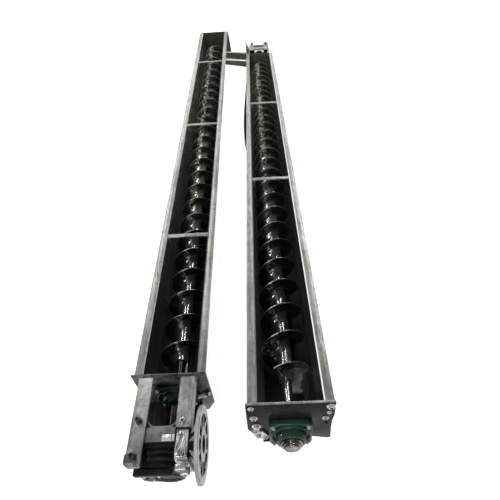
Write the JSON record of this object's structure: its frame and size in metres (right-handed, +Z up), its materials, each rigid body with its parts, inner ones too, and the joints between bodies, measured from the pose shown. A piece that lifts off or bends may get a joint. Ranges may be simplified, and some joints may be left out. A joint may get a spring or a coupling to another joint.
{
  "type": "twin open-trough screw conveyor",
  "caption": "Two open U-trough screw conveyors side by side, one level and one climbing, joined by a cross chute, each with a worm drive.",
  "frame": {"origin": "on the floor, under the middle of the whole assembly's plan", "axes": "+Y along the level left conveyor, away from its drive; +Z up; +X from the left conveyor to the right one"},
  "size_m": [0.747, 4.252, 0.7609],
  "materials": {
    "trough_steel": "dark, worn, satin",
    "rim_steel": "ground, streaked, a little dirty",
    "plate_steel": "dark mill scale with scratches",
    "stand_steel": "dark, satin",
    "screw_steel": "dark, worn bright on edges",
    "bearing_paint": "dark green gloss paint on cast iron",
    "gearbox_black": "black gloss paint",
    "cast_aluminium": "cast and machined, satin"
  },
  "bodies": {
    "root": {"chute_far_wall": "rim_steel", "chute_floor": "trough_steel", "chute_gusset": "trough_steel", "chute_near_wall": "rim_steel", "left_crossbar_1": "rim_steel", "left_crossbar_2": "rim_steel", "left_crossbar_3": "rim_steel", "left_drive_bearing": "bearing_paint", "left_drive_bracket": "plate_steel", "left_drive_end_plate": "plate_steel", "left_gearbox": "gearbox_black", "left_motor_adapter": "cast_aluminium", "left_motor_flange": "cast_aluminium", "left_rail_motor_side": "rim_steel", "left_rail_plain_side": "rim_steel", "left_rim_left": "rim_steel", "left_rim_right": "rim_steel", "left_stand_1": "stand_steel", "left_stand_2": "stand_steel", "left_tail_bearing": "bearing_paint", "left_tail_end_plate": "plate_steel", "left_trough": "trough_steel", "right_crossbar_1": "rim_steel", "right_crossbar_2": "rim_steel", "right_drive_bearing": "bearing_paint", "right_drive_bracket": "plate_steel", "right_drive_end_plate": "plate_steel", "right_gearbox": "gearbox_black", "right_motor_adapter": "cast_aluminium", "right_motor_flange": "cast_aluminium", "right_outlet_spout": "trough_steel", "right_rail_motor_side": "rim_steel", "right_rail_plain_side": "rim_steel", "right_rim_left": "rim_steel", "right_rim_right": "rim_steel", "right_stand_1": "stand_steel", "right_stand_2": "stand_steel", "right_stand_3": "stand_steel", "right_tail_bearing": "bearing_paint", "right_tail_end_plate": "plate_steel", "right_trough": "trough_steel"},
    "left_screw": {"left_flight": "screw_steel", "left_shaft": "screw_steel"},
    "right_screw": {"right_flight": "screw_steel", "right_shaft": "screw_steel"}
  },
  "joints": [
    {"name": "left_screw_spin", "type": "hinge", "parent": "root", "child": "left_screw", "pos_m": [-0.2145, 0, 0.206], "axis": [0, 1, 0], "continuous": true},
    {"name": "right_screw_spin", "type": "hinge", "parent": "root", "child": "right_screw", "pos_m": [0.2435, -0.33372, 0.40977], "axis": [0, 0.993, -0.1184], "continuous": true}
  ]
}
